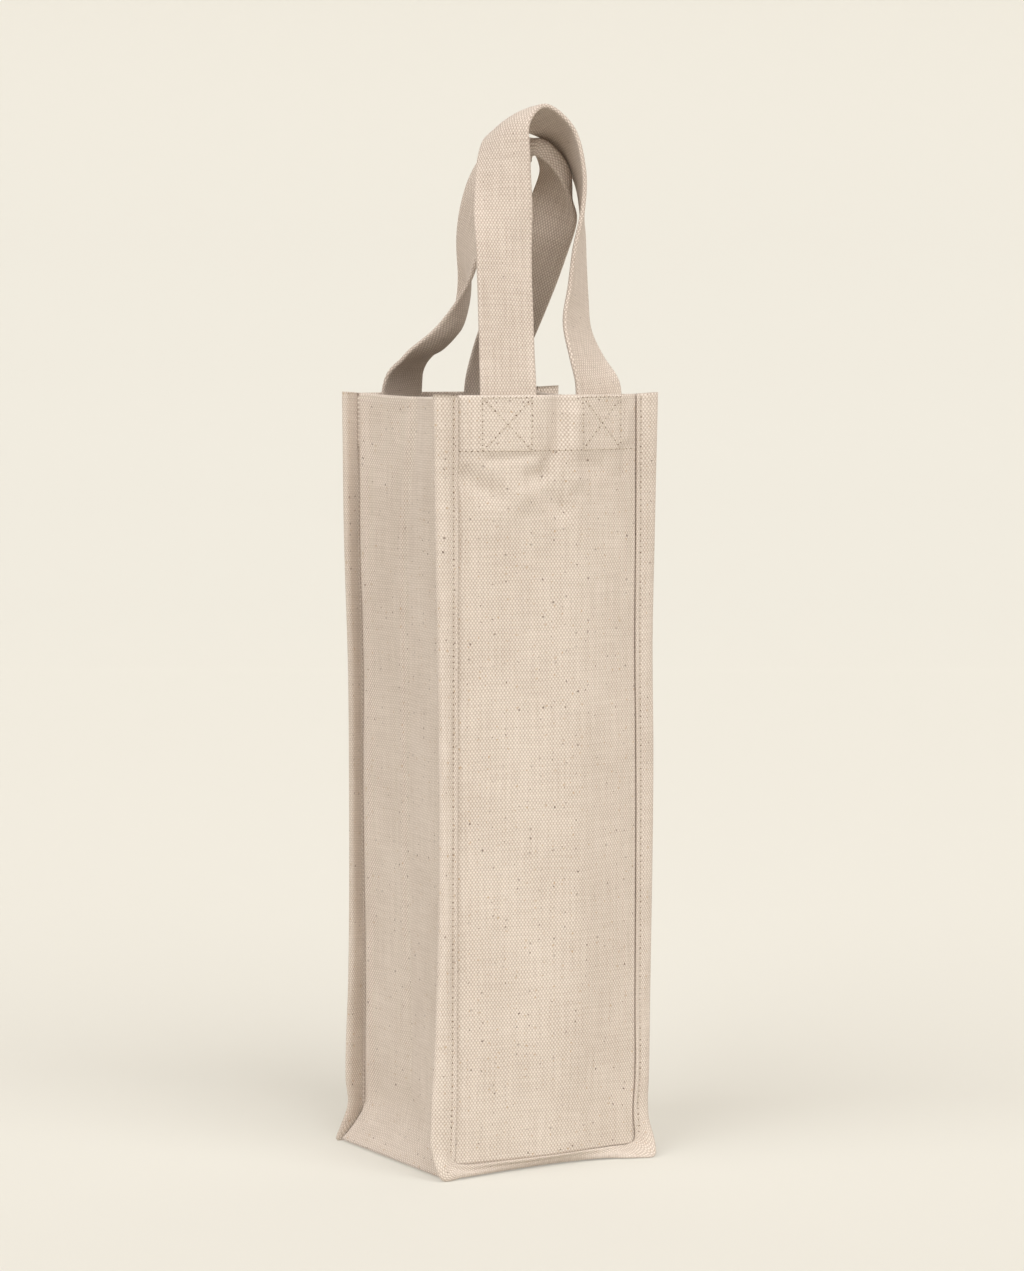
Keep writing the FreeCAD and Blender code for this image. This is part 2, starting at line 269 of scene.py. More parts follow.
BACK_STRAP = [
    (-23.0, 46.8, 342.0, 19, 0, 0, 0), (-22.9, 45.3, 347.0, 23, -1, 0, 0),
    (-20.2, 41.0, 355.0, 38, -2, 20, 0), (-14.9, 31.7, 364.0, 32, -2, 100, 0),
    (-12.2, 26.7, 373.0, 45, 2, 150, 0), (-9.3, 22.7, 381.0, 58, 6, 115, 0),
    (-7.6, 19.4, 388.5, 65, 12, 70, 0), (-7.6, 16.6, 395.5, 76, 16, 30, 0),
    (-7.3, 11.5, 410.0, 89, 19, 0, 0), (-4.6, 6.4, 426.0, 98, 18, -10, 16),
    (0.0, 3.0, 440.0, 100, 13, -10, 60), (14.2, -8.6, 450.8, 103, 7, -8, 104),
    (25.6, -11.6, 439.2, 103, 8, -8, 96), (26.6, -5.5, 422.5, 126, 13, -5, 26),
    (22.7, -0.5, 408.0, 142, 18, 0, 0), (22.3, 8.3, 394.7, 149, 20, 0, 0),
    (21.8, 18.3, 381.0, 152, 18, 0, 0), (22.5, 29.7, 368.5, 155, 14, 0, 0),
    (24.0, 41.5, 357.0, 164, 2, 0, 0), (23.0, 46.8, 343.0, 171, 0, 0, 0),
]


def curve(places, values, at):
    """Smooth values at the places asked for, through points in rising order."""
    places = np.asarray(places, float)
    values = np.asarray(values, float)
    slopes = np.gradient(values, places)
    k = np.clip(np.searchsorted(places, at) - 1, 0, len(places) - 2)
    gap = places[k + 1] - places[k]
    t = np.clip((at - places[k]) / gap, 0, 1)
    start = values[k] * (1 + 2 * t) + gap * slopes[k] * t
    end = values[k + 1] * (3 - 2 * t) - gap * slopes[k + 1] * (1 - t)
    return start * (1 - t) ** 2 + end * t ** 2


def ease(t):
    """From 0 to 1 without a corner at either end."""
    t = np.clip(t, 0, 1)
    return t * t * (3 - 2 * t)


def unit(vectors):
    return vectors / np.linalg.norm(vectors, axis=-1, keepdims=True)


def lengths_along(points):
    """Distance from the first point, along a row of points."""
    steps = np.linalg.norm(np.diff(points, axis=0), axis=-1)
    return np.concatenate([[0.0], np.cumsum(steps)])


def fold(x, z, start, end, width, depth):
    """A soft ridge or valley along a line on a panel, fading at its ends."""
    run_x = end[0] - start[0]
    run_z = end[1] - start[1]
    length = math.hypot(run_x, run_z)
    along = ((x - start[0]) * run_x + (z - start[1]) * run_z) / length
    over = ((x - start[0]) * run_z - (z - start[1]) * run_x) / length
    fade = ease((along + width) / (2 * width)) * ease((length - along + width) / (2 * width))
    return depth * fade * np.exp(-(over / width) ** 2)


def as_it_is(points):
    """The front panel's own view is the part's frame."""
    return points


def turned_round(points):
    """From the back panel's own view to the part's frame."""
    return points * np.array([-1.0, -1.0, 1.0])


class Piece:
    """Points, faces and flat-cloth coordinates of one piece, gathered patch by patch."""

    def __init__(self):
        self.points = []
        self.flat = []
        self.faces = []
        self.slots = []

    def patch(self, points, flat):
        """A grid of points, with the cloth coordinates of each."""
        rows, columns = points.shape[:2]
        first = len(self.points)
        self.points.extend(points.reshape(-1, 3))
        self.flat.extend(flat.reshape(-1, 2))
        for row in range(rows - 1):
            for column in range(columns - 1):
                a = first + row * columns + column
                self.faces.append((a, a + 1, a + columns + 1, a + columns))
                self.slots.append(0)

    def cap(self, ring, flat, slot=0):
        """One face inside a ring of points."""
        first = len(self.points)
        self.points.extend(ring)
        self.flat.extend(flat)
        self.faces.append(tuple(range(first, first + len(ring))))
        self.slots.append(slot)

    def build(self, name, *materials):
        """The object, with points that meet joined."""
        mesh = bpy.data.meshes.new(name)
        points = np.array(self.points) * MM
        mesh.from_pydata(points.tolist(), [], self.faces)
        for item in materials:
            mesh.materials.append(item)
        corners = np.empty(len(mesh.loops), np.int32)
        mesh.loops.foreach_get("vertex_index", corners)
        layer = mesh.uv_layers.new(name="Cloth")
        layer.data.foreach_set("uv", (np.array(self.flat)[corners] * MM).ravel().astype(np.float32))
        mesh.polygons.foreach_set("material_index", self.slots)
        mesh.polygons.foreach_set("use_smooth", np.ones(len(mesh.polygons), bool))
        joined = bmesh.new()
        joined.from_mesh(mesh)
        bmesh.ops.remove_doubles(joined, verts=joined.verts, dist=WELD * MM)
        joined.to_mesh(mesh)
        joined.free()
        piece = bpy.data.objects.new(name, mesh)
        bpy.context.scene.collection.objects.link(piece)
        return piece


class Panel:
    """Outer face of one panel, in its own view: x to the right, the panel facing -Y."""

    def __init__(self, left, right, bottom, folds, ridge):
        self.left = np.array(left, float)
        self.right = np.array(right, float)
        self.bottom = np.array([place[:2] for place in bottom if abs(place[0]) < BOTTOM_CORNER])
        self.folds = folds
        self.ridge = ridge

    def root(self, side, z):
        """Place of a side seam's folded edge at a height."""
        return curve(side[:, 0], side[:, 1], z)

    def low(self, x):
        """Height of the folded edge of the bottom seam."""
        return np.interp(x, self.bottom[:, 0], self.bottom[:, 1])

    def stand_out(self, x, z):
        """How far the face stands out past its seams."""
        left = self.root(self.left, z)
        right = self.root(self.right, z)
        share = np.clip((x - left) / (right - left), 0, 1)
        rise = share / self.ridge
        fall = (1 - share) / (1 - self.ridge)
        tent = -RIDGE_SOFTNESS * np.log(np.exp(-rise / RIDGE_SOFTNESS) + np.exp(-fall / RIDGE_SOFTNESS))
        body = CROWN * np.clip(tent, 0, None) ** CROWN_POWER
        body = body * (1 - FLAT_SHARE * ease((FLAT_HEIGHT - z) / FLAT_HEIGHT))
        stiff = RIM_CROWN * (1 - (2 * share - 1) ** 2)
        near_rim = ease((z - RIM_CROWN_START) / RIM_CROWN_RUN)
        swell = PANEL_SWELL * np.sin(z / 31 + 4 * share) * np.sin(math.pi * share)
        out = body * (1 - near_rim) + stiff * near_rim + swell * (1 - near_rim)
        hem = HEM_STEP * ease((z - (RIM - HEM_DEPTH - 2.5)) / 3)
        out = out + hem * np.clip(np.minimum(share, 1 - share) * 12, 0, 1)
        for start, end, width, depth in self.folds:
            out = out + fold(x, z, start, end, width, depth)
        return out

    def dip(self, x, z):
        """How far the panel draws in where it goes under its binding."""
        inside = np.minimum(x - self.root(self.left, z), self.root(self.right, z) - x)
        inside = np.minimum(inside, z - self.low(x))
        return GROOVE * np.exp(-(np.clip(inside, 0, None) / GROOVE_WIDTH) ** 2)

    def point(self, x, z):
        """Points on the face."""
        x, z = np.broadcast_arrays(np.asarray(x, float), np.asarray(z, float))
        y = -FACE - self.stand_out(x, z) + self.dip(x, z)
        return np.stack([x, y, z], axis=-1)

    def normal(self, x, z):
        """Directions out of the face."""
        step = 0.4
        run = self.point(x + step, z) - self.point(x - step, z)
        rise = self.point(x, z + step) - self.point(x, z - step)
        return unit(np.cross(run, rise))


class Seam:
    """A bound seam round three sides of a panel, from its left rim to its right rim."""

    def __init__(self, panel, bottom):
        stations = []
        for z, root, tip in panel.left[::-1]:
            stations.append((root, z, tip, -TIP_BACK, z + TIP_RISE))
        stations.extend(bottom)
        for z, root, tip in panel.right:
            stations.append((root, z, tip, -TIP_BACK, z + TIP_RISE))
        stations = np.array(stations, float)
        middle = (stations[:, [0, 1]] + stations[:, [2, 4]]) / 2
        place = lengths_along(middle)
        at = np.arange(0, place[-1], SEAM_STEP)
        at = np.append(at, place[-1])
        root_x, root_z, tip_x, tip_out, tip_z = (curve(place, column, at) for column in stations.T)
        self.roots = np.stack([root_x, -FACE - panel.stand_out(root_x, root_z), root_z], axis=-1)
        self.tips = np.stack([tip_x, -FACE - tip_out, tip_z], axis=-1)
        self.over = unit(self.tips - self.roots)
        run = np.gradient((self.roots + self.tips) / 2, axis=0)
        self.out = -unit(np.cross(run, self.over))
        self.width = np.linalg.norm(self.tips - self.roots, axis=1)
        self.along = lengths_along((self.roots + self.tips) / 2)
        # Pressed flat along the bottom, and a little flatter on the right
        self.thickness = 0.55 + 0.45 * ease((root_z - 8) / 24)
        self.thickness = self.thickness * (1 - 0.28 * ease((root_x + 20) / 40))

    def point(self, over, out):
        """Points along the seam, over from its folded edge and out from the panel's face."""
        return self.roots + self.over * over + self.out * out

    def wrap(self):
        """Points round the binding's section, at each place along the seam."""
        wave = 0.25 * np.sin(self.along / 17) + 0.2 * np.sin(self.along / 7.3)
        stretch = (self.width - BINDING_FOLD) / (BINDING_WIDTH - BINDING_FOLD)
        columns = []
        for over, out in BINDING_SECTION:
            beyond = max(over - BINDING_FOLD, 0)
            fitted = min(over, BINDING_FOLD) + beyond * stretch
            puff = 0 * wave
            if out > BINDING_FACE:
                puff = wave * math.sin(math.pi * min(max(over, 0) / BINDING_WIDTH, 1))
            away = (out + puff) * self.thickness
            columns.append(self.point(fitted[:, None], away[:, None]))
        points = np.stack(columns, axis=1)
        points[..., 2] = np.maximum(points[..., 2], FLOOR_GAP)
        return points


def add_seam(piece, seam, place):
    """Adds a closed binding to the gusset's piece."""
    points = place(seam.wrap())
    around = lengths_along(points[len(points) // 4]) * BINDING_DRAW
    flat = np.stack(np.broadcast_arrays(around[None, :], seam.along[:, None]), axis=-1)
    points = np.concatenate([points, points[:, :1]], axis=1)
    closing = flat[:, -1:] + np.array([BINDING_CLOSE, 0.0])
    flat = np.concatenate([flat, closing], axis=1) + np.array([BINDING_SHIFT, 0.0])
    piece.patch(points, flat)
    for end in (0, -1):
        piece.cap(points[end, :-1], flat[end, :-1])


def add_shell(piece, outer, normals, thickness, flat, rims):
    """A cloth of some thickness: its outer face, rolled rims, inner face and cut sides."""
    inner = outer - normals * thickness[:, None, None]
    turn = np.linspace(0, math.pi, 7)[1:-1]
    last = np.empty((0, *outer.shape[1:]))
    first = np.empty((0, *outer.shape[1:]))
    if rims[1]:
        last = roll(outer[-1], inner[-1], outer[-1] - outer[-2], turn)
    if rims[0]:
        first = roll(inner[0], outer[0], outer[0] - outer[1], turn)
    rows = np.concatenate([outer, last, inner[::-1], first, outer[:1]])
    run = lengths_along(rows[:, rows.shape[1] // 2])
    across = [flat, flat[-1:].repeat(len(last), 0), flat[::-1], flat[:1].repeat(len(first) + 1, 0)]
    across = np.concatenate(across)
    piece.patch(rows, np.stack([across, run[:, None] + 0 * across], axis=-1))
    flat = np.stack([flat, run[:len(flat), None] + 0 * flat], axis=-1)
    for side in (0, -1):
        cut = np.stack([outer[:, side], inner[:, side]], axis=1)
        piece.patch(cut, np.stack([flat[:, side]] * 2, axis=1))
        if rims[1]:
            ring = [outer[-1, side], *last[:, side], inner[-1, side]]
            piece.cap(ring, [flat[-1, side]] * len(ring))
        if rims[0]:
            ring = [inner[0, side], *first[:, side], outer[0, side]]
            piece.cap(ring, [flat[0, side]] * len(ring))


def roll(start, end, ahead, turn):
    """Rows that carry the cloth round its folded rim, from start to end."""
    middle = (start + end) / 2
    arm = (start - end) / 2
    bulge = unit(ahead) * np.linalg.norm(arm, axis=-1, keepdims=True)
    return np.stack([middle + arm * math.cos(a) + bulge * math.sin(a) for a in turn])


def rim_thickness(z):
    """Cloth and hem at a height."""
    return CANVAS + HEM_LAYERS * ease((z - (RIM - HEM_DEPTH - 0.6)) / 0.6)


def make_panel(name, panel, place, material):
    """A panel's cloth, with its hem, from inside one binding to inside the other."""
    piece = Piece()
    edge = np.array([-1.4, -0.8, -0.4, 0.0, 0.15, 0.3, 0.5, 0.8, 1.2, 1.8])
    shares = np.linspace(0, 1, 88)[1:-1]
    top = RIM - RIM_ROLL
    heights = np.concatenate([np.arange(2, FINE_START, 2.0), np.arange(FINE_START, top, 0.8), [top]])

    def columns(z):
        """Places across the panel at a height, closer beside the bindings."""
        left = panel.root(panel.left, z)
        right = panel.root(panel.right, z)
        middle = left + edge[-1] + (right - left - 2 * edge[-1]) * shares
        return np.concatenate([left + edge, middle, right - edge[::-1]], axis=-1)

    low = panel.low(columns(np.array([CORNER_HEIGHT])))
    share = heights[:, None] / heights[-1]
    z = np.concatenate([low + edge[:, None], (low + edge[-1]) * (1 - share) + heights[-1] * share])
    x = np.stack([columns(row[len(row) // 2:len(row) // 2 + 1]) for row in z])
    outer = panel.point(x, z)
    outward = np.zeros_like(outer)
    outward[..., 1] = -1.0
    add_shell(piece, place(outer), place(outward), rim_thickness(z[:, 0]), x, (False, True))
    return piece.build(name, material)


def gusset_side(side, front_root, back_root, floor, heights, shares):
    """Outer face of one side of the gusset, top to bottom, with side -1 on the left."""
    z = heights[:, None]
    v = shares[None, :]
    wall = FACE - SEAM_BACK
    y = wall * (2 * v - 1) + 0 * z
    root = front_root(heights)[:, None] * (1 - v) + back_root(heights)[:, None] * v
    centre = 0.5 + CREASE_SHIFT * ease((330 - z) / 60)
    tent = 1 - np.abs(v - centre) / np.where(v < centre, centre, 1 - centre)
    # Rounds the tip of the tent
    tent = np.sqrt(tent ** 2 + 0.002) - 0.045
    pinch = CREASE_PINCH * (0.62 + 0.45 * ease((z - 290) / 50) + 0.12 * np.sin(z / 41))
    sides = root - pinch * tent * (1 - 0.35 * np.sin(math.pi * tent))
    low = np.clip(1 - z / FORK_HEIGHT, 0, None)
    fork = root - CREASE_PINCH
    reach = floor[0] * (1 - v) + floor[1] * v - fork
    spread = fork + np.where(z < FORK_HEIGHT, 0.14 * low + 0.86 * low ** 4, -0.1) * reach
    apart = np.abs(sides - spread)
    out = np.maximum(sides, spread) + FORK_ROUNDING * np.exp(-apart / FORK_ROUNDING) * 0.5
    edge = wall - np.abs(y)
    beside = ease(edge / SWELL_PLACE) * np.exp(-(np.clip(edge - SWELL_PLACE, 0, None) / SWELL_FADE) ** 2)
    out = out + SEAM_SWELL * beside * ease(z / 24)
    out = out + GUSSET_SWELL * np.sin(z / 23 + 5 * v) * np.sin(math.pi * v) * ease(z / 40)
    ridge = np.exp(-((v - centre - 0.06) / 0.035) ** 2)
    out = out + CREASE_RIDGE * ridge * ease((z - FORK_HEIGHT) / 60)
    sag = RIM_SAG * np.sin(math.pi * v) * ease((z - 250) / 90)
    return np.stack([side * out, y, z - sag], axis=-1)


def make_gusset(front, back, seams, material):
    """One strip of canvas: left side, base and right side, with its bound edges."""
    piece = Piece()
    shares = 0.5 - 0.5 * np.cos(np.linspace(0, math.pi, 61))
    high = np.arange(RIM - 3, LOW_START, -2.0)
    low = np.arange(LOW_START, 0.5, -1.2)
    heights = np.concatenate([[RIM - RIM_ROLL], high, low])
    left = gusset_side(
        -1, lambda z: -front.root(front.left, z), lambda z: back.root(back.right, z),
        LEFT_FLOOR, heights, shares,
    )
    right = gusset_side(
        1, lambda z: front.root(front.right, z), lambda z: -back.root(back.left, z),
        RIGHT_FLOOR, heights, shares,
    )
    steps = np.linspace(0, 1, 40)[1:-1, None]
    base = np.zeros((len(steps), len(shares), 3))
    base[..., 0] = left[-1, :, 0] * (1 - steps) + right[-1, :, 0] * steps
    base[..., 1] = left[-1, :, 1]
    # Only the front and back edges of the base rise, and not its corners
    lift = ease((np.abs(base[..., 1]) - 33) / 9) * ease((50 - np.abs(base[..., 0])) / 12)
    base[..., 2] = FLOOR_GAP + BASE_LIFT * lift
    outer = np.concatenate([left, base, right[::-1]])
    across = np.gradient(outer, axis=1)
    down = np.gradient(outer, axis=0)
    normals = unit(np.cross(across, down))
    thickness = rim_thickness(outer[:, outer.shape[1] // 2, 2])
    add_shell(piece, outer, normals, thickness, outer[..., 1], (True, True))
    add_seam(piece, seams[0], as_it_is)
    add_seam(piece, seams[1], turned_round)
    return piece.build("gusset_cloth", material)


def strap_sections(bow, curl):
    """Sections of a bowed strap with a curled edge: over, rise and slope at each step across."""
    across = np.linspace(-WEBBING_WIDTH / 2, WEBBING_WIDTH / 2, SECTION_STEPS)
    slope = bow * across / WEBBING_WIDTH + curl * ease((CURL_START - across) / CURL_LENGTH)
    step = across[1] - across[0]
    over = np.cumsum(np.cos(slope), axis=1) * step
    rise = np.cumsum(np.sin(slope), axis=1) * step
    middle = len(across) // 2
    over = over - over[:, middle:middle + 1]
    rise = rise - rise[:, middle:middle + 1] - WEBBING_WIDTH / 8 * bow
    return over, rise, slope


def round_far_edge(points, shares, place, slack):
    """Rounds the corners of a strap's far edge along its length, more towards the edge."""
    near = np.exp(-0.5 * ((place[:, None] - place[None, :]) / slack) ** 2)
    rounded = np.einsum("ij,jkc->ikc", near / near.sum(axis=1, keepdims=True), points)
    free = np.minimum(place, place[-1] - place)
    amount = ease((free - SEWN_LENGTH) / SLACK_RUN)[:, None] * ease(shares)[None, :]
    return points + (rounded - points) * amount[..., None]


def make_strap(name, stations, material, slack=None):
    """A webbing strap swept along its stations, with rounded selvages."""
    stations = np.array(stations, float)
    ends = []
    for end in (0, -1):
        x, y, _, turn = stations[end, :4]
        depths = (SEWN_LENGTH, SEWN_LENGTH / 2)
        ends.append([(x, y, RIM - depth, turn, 0, 0, 0) for depth in depths])
    whole = np.concatenate([ends[0], stations, ends[1][::-1]])
    place = lengths_along(whole[:, :3])
    at = np.linspace(0, place[-1], STRAP_SECTIONS)
    middle = np.stack([curve(place, whole[:, k], at) for k in range(3)], axis=-1)
    turn, tilt, bow, curl = np.radians(whole[:, 3:].T)
    ways = [np.cos(tilt) * np.cos(turn), np.cos(tilt) * np.sin(turn), np.sin(tilt)]
    ways = np.stack(ways, axis=-1)
    width = np.stack([curve(place, ways[:, k], at) for k in range(3)], axis=-1)
    run = unit(np.gradient(middle, axis=0))
    width = unit(width - run * np.sum(width * run, axis=1, keepdims=True))
    normal = np.cross(run, width)
    over, rise, slope = strap_sections(curve(place, bow, at)[:, None], curve(place, curl, at)[:, None])
    half = WEBBING_WIDTH / 2
    thick = WEBBING_THICKNESS / 2
    face = []
    for x in np.linspace(SELVAGE - half, half - SELVAGE, 32):
        swell = SELVAGE_SWELL * (abs(x) / half > SELVAGE_START)
        face.append((x, thick * (1 + swell)))
    edge = [(half - 0.25, thick * 0.75), (half, 0.0), (half - 0.25, -thick * 0.75)]
    ring = face + edge
    ring += [(-x, -y) for x, y in face] + [(-x, -y) for x, y in edge]
    ring.append(ring[0])
    columns = []
    for x, y in ring:
        k = round((x + half) / WEBBING_WIDTH * (over.shape[1] - 1))
        aside = over[:, k] - y * np.sin(slope[:, k])
        up = rise[:, k] + y * np.cos(slope[:, k])
        columns.append(middle + width * aside[:, None] + normal * up[:, None])
    points = np.stack(columns, axis=1)
    run_length = lengths_along(middle)
    if slack:
        shares = np.array([x for x, _ in ring]) / half
        points = round_far_edge(points, shares, run_length, slack)
    section = lengths_along(np.array([(x, y, 0) for x, y in ring]))
    flat = np.stack(np.broadcast_arrays(section[None, :], run_length[:, None]), axis=-1)
    piece = Piece()
    piece.patch(points, flat)
    for end in (0, -1):
        piece.cap(points[end, :-1], flat[end, :-1])
    return piece.build(name, material)


def add_stitches(piece, points, normals, chance):
    """A row of stitches along a line on the cloth, with dark discs of painted shade at the needle holes
    between them.
    """
    place = lengths_along(points)
    count = max(1, round(place[-1] / STITCH_PITCH))
    pitch = place[-1] / count
    turn = np.linspace(0, 2 * math.pi, 7)
    for k in range(count):
        ends = [k * pitch + STITCH_GAP / 2, (k + 1) * pitch - STITCH_GAP / 2]
        start, stop = (np.array([np.interp(e, place, points[:, c]) for c in range(3)]) for e in ends)
        out = unit(np.array([np.interp(sum(ends) / 2, place, normals[:, c]) for c in range(3)]))
        side = unit(np.cross(stop - start, out))
        wide = side * STITCH_HALF_WIDTH
        high = out * STITCH_HALF_HEIGHT
        rings = []
        for share, size, lift in STITCH_SHAPE:
            middle = start + (stop - start) * share + out * lift
            rings.append([middle + size * (wide * math.cos(a) + high * math.sin(a)) for a in turn])
        rings = np.array(rings)
        piece.patch(rings, np.zeros(rings.shape[:2] + (2,)))
        # A dark disc at the needle hole, painted shade
        hole = start - (stop - start) * STITCH_GAP / 2 / pitch + out * SHADE_DOT_LIFT
        size = SHADE_DOT_RADIUS + SHADE_DOT_SPREAD * chance.uniform(0.0, 1.0)
        ahead = unit(stop - start)
        disc = [hole + size * (side * math.cos(a) + ahead * math.sin(a)) for a in turn[:-1]]
        piece.cap(disc, [(0, 0)] * len(disc), slot=1)


def seam_stitches(name, seam, place, materials, chance):
    """Stitching of a bound seam, nearer to the fold along the bottom."""
    piece = Piece()
    over = SEAM_STITCH * (0.3 + 0.7 * ease((seam.roots[:, 2:] - 7) / 6))
    line = place(seam.point(over, seam.thickness[:, None]))
    add_stitches(piece, line, place(seam.out), chance)
    return piece.build(name, *materials)


def hem_stitches(name, panel, place, materials, chance):
    """Stitching across a panel's hem, from seam to seam."""
    piece = Piece()
    z = RIM - HEM_STITCH
    x = np.linspace(panel.root(panel.left, z) + 1, panel.root(panel.right, z) - 1, 120)
    add_stitches(piece, place(panel.point(x, z + 0 * x)), place(panel.normal(x, z + 0 * x)), chance)
    return piece.build(name, *materials)


def box_stitches(name, panel, place, middle, materials, chance):
    """A box with a cross, over one sewn end of a strap."""
    piece = Piece()
    left = middle - BOX_WIDTH / 2
    right = middle + BOX_WIDTH / 2
    top = RIM - BOX_DROP
    low = top - BOX_HEIGHT
    corners = [(left, low), (right, low), (right, top), (left, top), (left, low)]
    runs = list(zip(corners, corners[1:]))
    runs += [((left, low), (right, top)), ((left, top), (right, low))]
    for start, end in runs:
        t = np.linspace(0, 1, 40)
        x = start[0] + (end[0] - start[0]) * t
        z = start[1] + (end[1] - start[1]) * t
        add_stitches(piece, place(panel.point(x, z)), place(panel.normal(x, z)), chance)
    return piece.build(name, *materials)


class Shader:
    """A material and short ways to add nodes to it."""

    def __init__(self, name):
        self.material = bpy.data.materials.new(name)
        self.material.use_nodes = True
        self.nodes = self.material.node_tree.nodes
        self.links = self.material.node_tree.links
        self.surface = self.nodes["Principled BSDF"]

    def node(self, kind, **inputs):
        """A node with values or links on the inputs named."""
        node = self.nodes.new(kind)
        for key, value in inputs.items():
            self.feed(node.inputs[key.replace("_", " ")], value)
        return node

    def feed(self, socket, value):
        if isinstance(value, bpy.types.NodeSocket):
            self.links.new(value, socket)
        else:
            socket.default_value = value

    def math(self, operation, *values):
        node = self.nodes.new("ShaderNodeMath")
        node.operation = operation
        for socket, value in zip(node.inputs, values):
            self.feed(socket, value)
        return node.outputs[0]

    def vector(self, x, y, z=0.0):
        node = self.nodes.new("ShaderNodeCombineXYZ")
        for socket, value in zip(node.inputs, (x, y, z)):
            self.feed(socket, value)
        return node.outputs[0]

    def mix(self, share, low, high):
        node = self.nodes.new("ShaderNodeMix")
        node.data_type = "RGBA"
        self.feed(node.inputs[0], share)
        self.feed(node.inputs[6], low)
        self.feed(node.inputs[7], high)
        return node.outputs[2]

    def noise(self, vector, scale, detail=2.0, dimensions="2D"):
        node = self.node("ShaderNodeTexNoise", Vector=vector, Scale=scale, Detail=detail)
        node.noise_dimensions = dimensions
        return node.outputs[0]


def woven(name, pitch, light, dark, relief, flecks):
    """Plain weave, with painted shade where it sinks between the threads, and seed flecks.

    The pitch is between ends and between picks. A fleck has its spacing, size, depth and colour.
    """
    shader = Shader(name)
    cloth = shader.node("ShaderNodeUVMap")
    cloth.uv_map = "Cloth"
    split = shader.node("ShaderNodeSeparateXYZ", Vector=cloth.outputs[0])
    wander = shader.math("MULTIPLY", shader.noise(cloth.outputs[0], WANDER_SCALE), WANDER)
    across = shader.math("MULTIPLY_ADD", split.outputs[0], 1 / (pitch[0] * MM), wander)
    along = shader.math("MULTIPLY_ADD", split.outputs[1], 1 / (pitch[1] * MM), wander)
    wave_across = shader.math("SINE", shader.math("MULTIPLY", across, math.pi))
    wave_along = shader.math("SINE", shader.math("MULTIPLY", along, math.pi))
    crossing = shader.math("MULTIPLY", wave_across, wave_along)
    height = shader.math("MULTIPLY_ADD", crossing, 0.5, 0.5)
    rib = shader.math("ABSOLUTE", wave_along)
    warp_run = shader.math("MULTIPLY", along, SLUB_STRETCH)
    warp = shader.noise(shader.vector(across, warp_run), SLUB_SCALE)
    weft_run = shader.math("MULTIPLY", across, SLUB_STRETCH)
    weft = shader.noise(shader.vector(weft_run, along), SLUB_SCALE)
    patch = shader.noise(cloth.outputs[0], PATCH_SCALE)
    # Tone from the crossings and ribs, darker where the weave sinks, which is painted shade between the
    # threads; then slubs both ways and patches, the cloth's own uneven tone
    tone = shader.math("MULTIPLY", height, 0.72)
    for part, weight in ((rib, 0.22), (warp, 0.28), (weft, 0.22), (patch, 0.22)):
        tone = shader.math("MULTIPLY_ADD", part, weight, tone)
    tone = shader.math("SUBTRACT", tone, 0.38)
    colour = shader.mix(tone, (*dark, 1), (*light, 1))
    for cell, size, depth, tint in flecks:
        cells = shader.node("ShaderNodeTexVoronoi", Vector=cloth.outputs[0], Scale=1 / (cell * MM))
        cells.voronoi_dimensions = "2D"
        pick = shader.node("ShaderNodeSeparateColor", Color=cells.outputs["Color"])
        ragged = shader.noise(cloth.outputs[0], FLECK_SCALE)
        reach = shader.math("MULTIPLY", shader.math("POWER", pick.outputs[0], 1.5), size / cell)
        reach = shader.math("MULTIPLY", reach, shader.math("MULTIPLY_ADD", ragged, 2.0, -0.2))
        fleck = shader.math("LESS_THAN", cells.outputs["Distance"], reach)
        strength = shader.math("MULTIPLY_ADD", pick.outputs[1], depth, 0.2)
        fleck = shader.math("MULTIPLY", fleck, strength)
        colour = shader.mix(fleck, colour, (*tint, 1))
    shader.feed(shader.surface.inputs["Base Color"], colour)
    shader.surface.inputs["Roughness"].default_value = 0.92
    shader.surface.inputs["Specular IOR Level"].default_value = 0.15
    shader.surface.inputs["Sheen Weight"].default_value = 0.12
    shader.surface.inputs["Sheen Roughness"].default_value = 0.6
    bump = shader.node("ShaderNodeBump", Height=height)
    bump.inputs["Strength"].default_value = 0.6
    bump.inputs["Distance"].default_value = relief * MM
    shader.feed(shader.surface.inputs["Normal"], bump.outputs[0])
    return shader.material


def spun_thread(name, light, dark):
    """Cotton thread, a little uneven in tone."""
    shader = Shader(name)
    place = shader.node("ShaderNodeTexCoord").outputs["Object"]
    colour = shader.mix(shader.noise(place, 900.0, dimensions="3D"), (*dark, 1), (*light, 1))
    shader.feed(shader.surface.inputs["Base Color"], colour)
    shader.surface.inputs["Roughness"].default_value = 0.85
    return shader.material


def plain(name, colour, roughness):
    """One even colour."""
    shader = Shader(name)
    shader.surface.inputs["Base Color"].default_value = (*colour, 1)
    shader.surface.inputs["Roughness"].default_value = roughness
    return shader.material


def graded_paper(name):
    """Backdrop paper whose tone changes along its run, so that it looks even from the camera."""
    shader = Shader(name)
    cloth = shader.node("ShaderNodeUVMap")
    cloth.uv_map = "Cloth"
    run = shader.node("ShaderNodeSeparateXYZ", Vector=cloth.outputs[0]).outputs[1]
    ramp = shader.node("ShaderNodeValToRGB", Fac=shader.math("MULTIPLY", run, 1 / (PAPER_REACH * MM)))
    stops = ramp.color_ramp.elements
    while len(stops) < len(PAPER_TONES):
        stops.new(1.0)
    for stop, (at, tone) in zip(stops, PAPER_TONES):
        stop.position = at / PAPER_REACH
        stop.color = (*(tone * c for c in PAPER_COLOUR), 1)
    shader.feed(shader.surface.inputs["Base Color"], ramp.outputs[0])
    shader.feed(shader.surface.inputs["Emission Color"], ramp.outputs[0])
    shader.surface.inputs["Emission Strength"].default_value = PAPER_GLOW
    shader.surface.inputs["Roughness"].default_value = 0.95
    return shader.material


